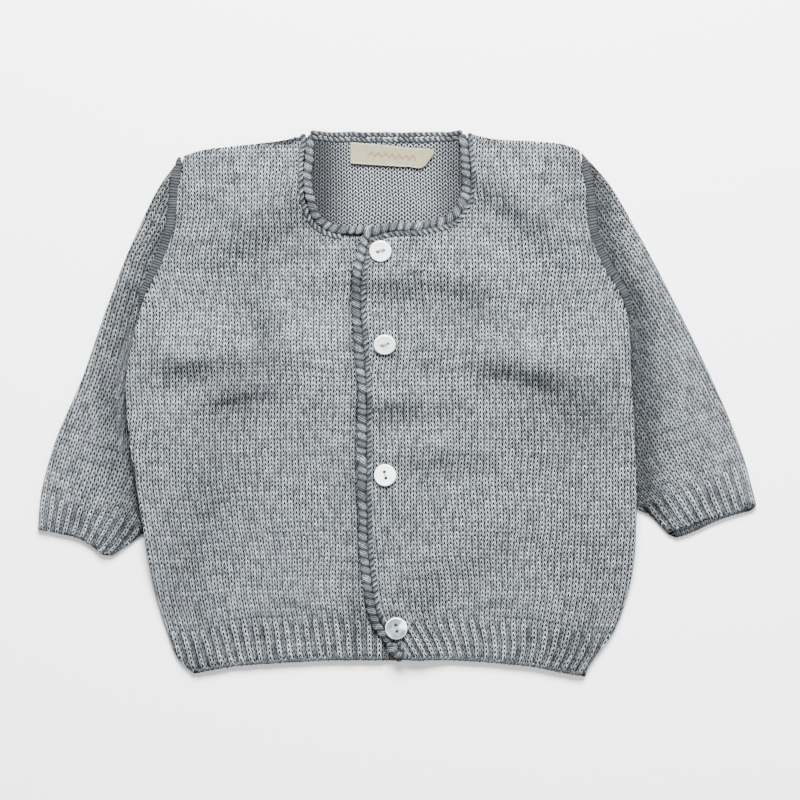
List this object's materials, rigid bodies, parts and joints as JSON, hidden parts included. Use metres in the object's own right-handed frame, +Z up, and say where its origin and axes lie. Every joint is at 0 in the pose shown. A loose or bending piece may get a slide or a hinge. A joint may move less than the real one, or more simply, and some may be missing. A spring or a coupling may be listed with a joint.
{
  "type": "baby cardigan",
  "caption": "Knitted baby cardigan with long sleeves laid flat: square neck and buttoned front with crochet edging, left front over right, ribbed hem and cuffs.",
  "frame": {"origin": "on the surface that the garment lies on, under the middle of its box", "axes": "+X to the wearer's left, across the widest span from cuff to cuff; +Y to the neck; +Z up from the surface, through the garment's layers"},
  "size_m": [0.3742, 0.2839, 0.0135],
  "materials": {
    "knit": "plain knit in a grey melange yarn, soft and matt",
    "crochet": "crochet in the same grey melange yarn",
    "pearl": "polished, with the sheen of mother-of-pearl",
    "tape": "woven cream tape, without lettering"
  },
  "bodies": {
    "root": {"back": "knit", "front_right": "knit", "front_left": "knit", "sleeve_right": "knit", "sleeve_left": "knit", "edging_right": "crochet", "edging_left": "crochet", "edging_back": "crochet", "button_1": "pearl", "button_2": "pearl", "button_3": "pearl", "button_4": "pearl", "label": "tape"}
  },
  "joints": []
}
